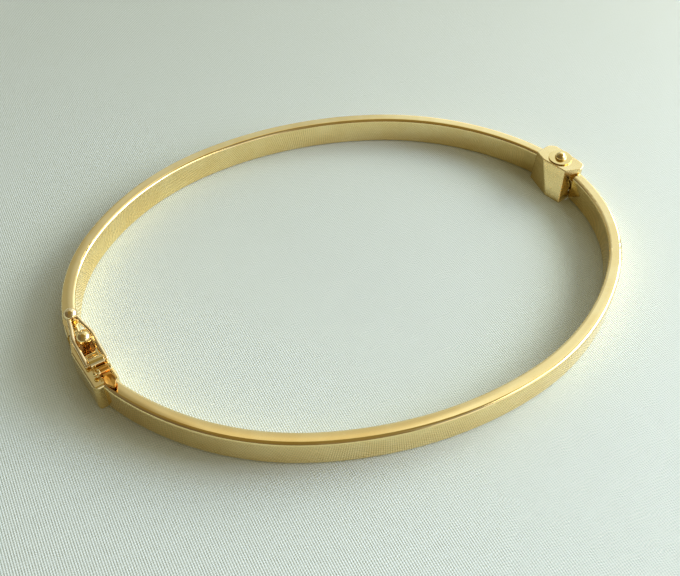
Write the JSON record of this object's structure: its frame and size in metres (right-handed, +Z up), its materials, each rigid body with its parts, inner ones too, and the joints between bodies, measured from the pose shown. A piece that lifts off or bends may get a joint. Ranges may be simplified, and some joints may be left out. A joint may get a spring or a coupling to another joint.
{
  "type": "hinged bangle",
  "caption": "Oval hinged bangle of flat band with a block hinge, a box clasp with a thumb lever, and a wire loop safety catch over a round stud.",
  "frame": {"origin": "middle of the oval of the band, on the plane that the bangle rests on", "axes": "+Z up out of that plane, along the wrist; +X along the oval's long axis toward the hinge; +Y along its short axis toward the back half"},
  "size_m": [0.0634, 0.0488, 0.0049],
  "materials": {
    "gold_band": "polished",
    "gold_pin": "polished",
    "gold_catch": "polished",
    "copper_gold_lever": "polished"
  },
  "bodies": {
    "back": {"back_half": "gold_band", "hinge_pin": "gold_pin"},
    "front": {"front_half": "gold_band", "lever_pin": "gold_pin"},
    "catch": {"safety_catch": "gold_catch"},
    "lever": {"clasp_lever": "copper_gold_lever"}
  },
  "joints": [
    {"name": "bangle_hinge", "type": "hinge", "parent": "back", "child": "front", "pos_m": [0.02982, 0.00599, 0.002], "axis": [0, 0, 1], "range_deg": [0, 60]},
    {"name": "catch_swing", "type": "hinge", "parent": "front", "child": "catch", "pos_m": [-0.02905, -0.00688, 0.00375], "axis": [0.9756, 0.2193, 0], "range_deg": [0, 110]},
    {"name": "lever_press", "type": "hinge", "parent": "front", "child": "lever", "pos_m": [-0.0286, -0.00821, 0.00388], "axis": [0.9633, 0.2684, 0], "range_deg": [0, 6], "stiffness_Nm_per_rad": 0.0006, "springref_deg": -5.73}
  ]
}
